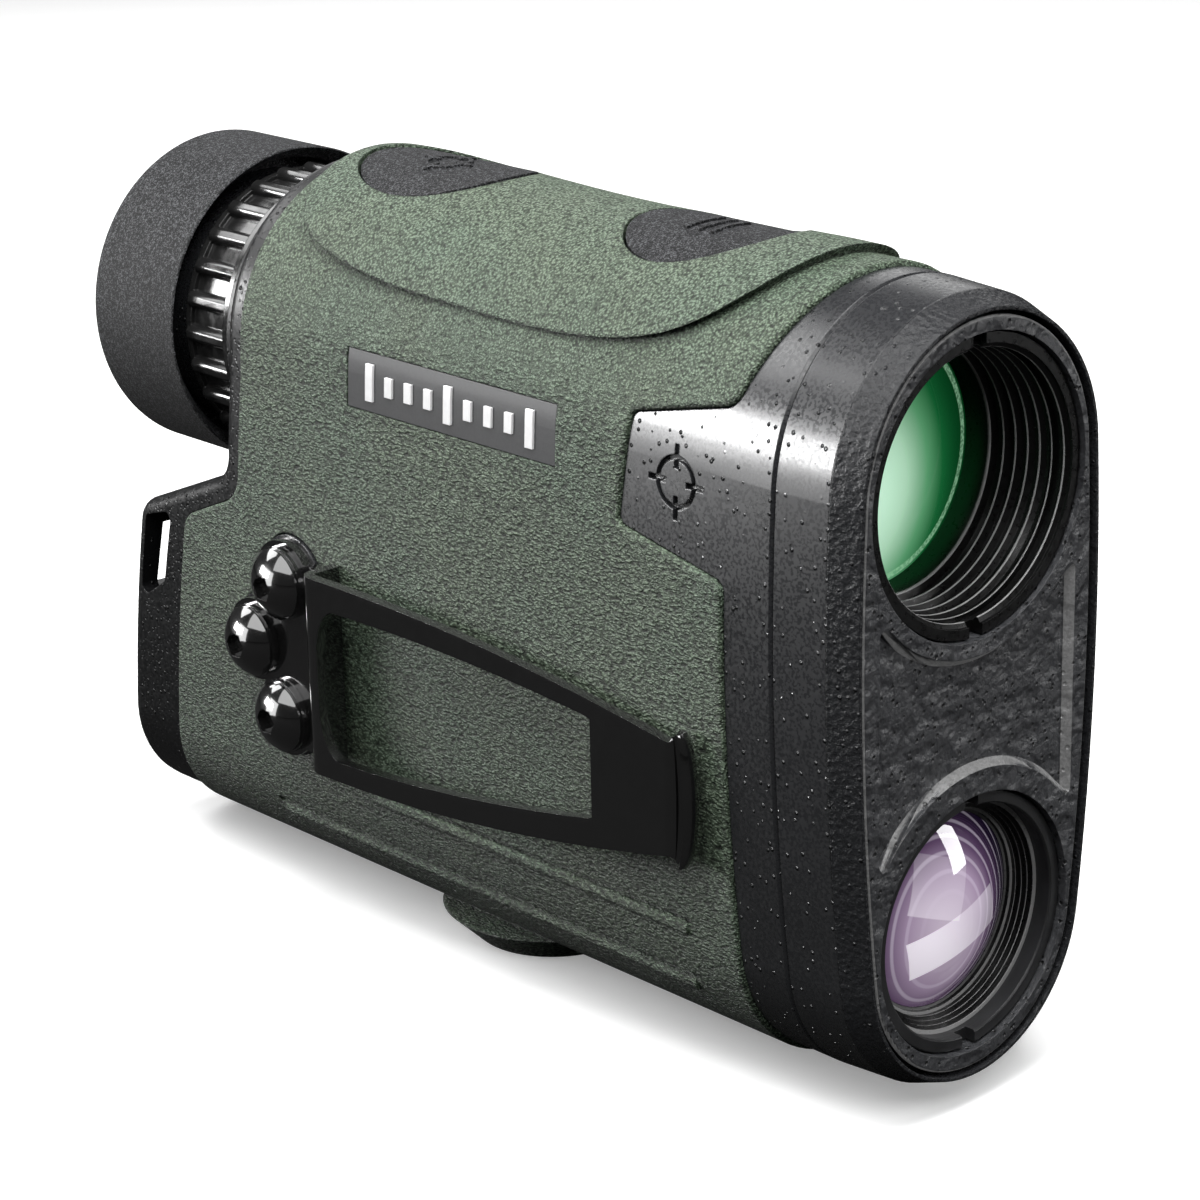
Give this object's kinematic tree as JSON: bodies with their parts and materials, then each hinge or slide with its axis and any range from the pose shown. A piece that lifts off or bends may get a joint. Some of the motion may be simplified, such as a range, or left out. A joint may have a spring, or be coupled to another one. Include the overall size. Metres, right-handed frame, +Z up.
{
  "type": "laser rangefinder",
  "caption": "Compact upright monocular laser rangefinder: large sighting objective over a receiver lens, ribbed eyepiece with twist-up eyecup, crown keys, belt clip and tripod socket.",
  "frame": {"origin": "centre of the mouth of the tripod socket under the body", "axes": "+Z up, +Y towards the eyepiece along the sighting axis, -X towards the belt clip"},
  "size_m": [0.0418, 0.1162, 0.082],
  "materials": {
    "armour_rubber": "fine worm-like leather grain, satin",
    "grip_rubber": "speckled matte rubber",
    "black_polymer": "fine sand texture, satin",
    "bezel_polymer": "denser pitted texture",
    "face_polymer": "smooth satin",
    "badge_polymer": "semi-gloss dark grey",
    "badge_marks": "pale grey, slightly raised",
    "black_aluminium": "black anodised",
    "ring_polymer": "polished ribs",
    "clip_metal": "satin black coating over spring steel",
    "screw_steel": "glossy black oxide",
    "plain_steel": "plain zinc-plated steel",
    "brass": "machined",
    "objective_glass": "green anti-reflection coating",
    "receiver_glass": "violet filter coating",
    "optic_glass": "clear ground glass",
    "seal_rubber": "smooth",
    "circuit_board": "green solder mask",
    "gold_contact": "nickel-gold plate",
    "cell_sleeve": "printed sleeve without print",
    "ribbon": "amber polyimide",
    "bright_steel": "bright plated"
  },
  "bodies": {
    "case": {"front_cap": "black_polymer", "face_plate": "face_polymer", "objective_ring": "black_aluminium", "receiver_ring": "black_aluminium", "main_housing": "black_polymer", "armour": "armour_rubber", "name_badge": "badge_polymer", "badge_inlay": "badge_marks", "rear_bezel": "bezel_polymer", "objective_tube": "black_aluminium", "objective_lens": "objective_glass", "objective_lock_ring": "black_aluminium", "objective_seal": "seal_rubber", "receiver_barrel": "black_polymer", "receiver_lens": "receiver_glass", "receiver_lock_ring": "black_aluminium", "receiver_seal": "seal_rubber", "detector": "gold_contact", "detector_board": "circuit_board", "prism_holder": "black_polymer", "prism_front": "optic_glass", "prism_rear": "optic_glass", "prism_screws": "plain_steel", "laser_diode": "gold_contact", "display_module": "black_polymer", "display_glass": "optic_glass", "eyepiece_tube": "black_aluminium", "button_board": "circuit_board", "measure_switch": "plain_steel", "menu_switch": "plain_steel", "main_board": "circuit_board", "shield_can": "bright_steel", "board_screws": "plain_steel", "flex_cable": "ribbon", "battery_tube": "black_polymer", "battery": "cell_sleeve", "battery_contact": "gold_contact", "tripod_bush": "brass", "clip_inserts": "brass", "clip_washers": "screw_steel", "clip_screws": "screw_steel", "clip_base": "clip_metal", "cap_screws": "plain_steel", "bezel_screws": "screw_steel"},
    "measure_key": {"measure_button": "grip_rubber"},
    "menu_key": {"menu_button": "grip_rubber"},
    "eyecup_slider": {"eyecup_ring": "seal_rubber"},
    "eyecup": {"eyecup": "grip_rubber", "eyecup_sleeve": "black_polymer"},
    "diopter": {"diopter_ring": "ring_polymer"},
    "ocular": {"ocular_cell": "black_aluminium", "ocular_lens_front": "optic_glass", "ocular_lens_rear": "optic_glass", "ocular_lock_rings": "black_aluminium", "ocular_pin": "plain_steel"},
    "cap_slider": {"cap_seal": "seal_rubber"},
    "battery_cap": {"battery_cap": "bezel_polymer", "cap_contact": "bright_steel", "battery_spring": "bright_steel"},
    "clip_spring": {"clip_arm": "clip_metal"}
  },
  "joints": [
    {"name": "measure_press", "type": "slide", "parent": "case", "child": "measure_key", "axis": [0, 0, -1], "range_m": [0, 0.0008], "stiffness_N_per_m": 2500},
    {"name": "menu_press", "type": "slide", "parent": "case", "child": "menu_key", "axis": [0, 0, -1], "range_m": [0, 0.0008], "stiffness_N_per_m": 2500},
    {"name": "eyecup_extend", "type": "slide", "parent": "case", "child": "eyecup_slider", "axis": [0, 1, 0], "range_m": [0, 0.006]},
    {"name": "eyecup_twist", "type": "hinge", "parent": "eyecup_slider", "child": "eyecup", "pos_m": [0, 0.046, 0.062], "axis": [0, 1, 0], "range_deg": [0, 121]},
    {"name": "diopter_turn", "type": "hinge", "parent": "case", "child": "diopter", "pos_m": [0, 0.037, 0.062], "axis": [0, 1, 0], "range_deg": [-60, 60]},
    {"name": "ocular_focus", "type": "slide", "parent": "case", "child": "ocular", "axis": [0, 1, 0], "range_m": [-0.00099, 0.00099]},
    {"name": "cap_slide", "type": "slide", "parent": "case", "child": "cap_slider", "axis": [0, 0.9689, 0.2474], "range_m": [0, 0.006]},
    {"name": "cap_turn", "type": "hinge", "parent": "cap_slider", "child": "battery_cap", "pos_m": [0, 0.0524, 0.02825], "axis": [0, 0.9689, 0.2474], "range_deg": [0, 1445]},
    {"name": "clip_flex", "type": "hinge", "parent": "case", "child": "clip_spring", "pos_m": [-0.0214, 0.0137, 0.032], "axis": [0, 0, -1], "range_deg": [0, 8], "stiffness_Nm_per_rad": 1.5}
  ],
  "couplings": [
    {"joint": "eyecup_twist", "follows": "eyecup_extend", "rad_per_m": 349.07},
    {"joint": "diopter_turn", "follows": "ocular_focus", "rad_per_m": 1052.6},
    {"joint": "cap_turn", "follows": "cap_slide", "rad_per_m": 4188.8}
  ]
}
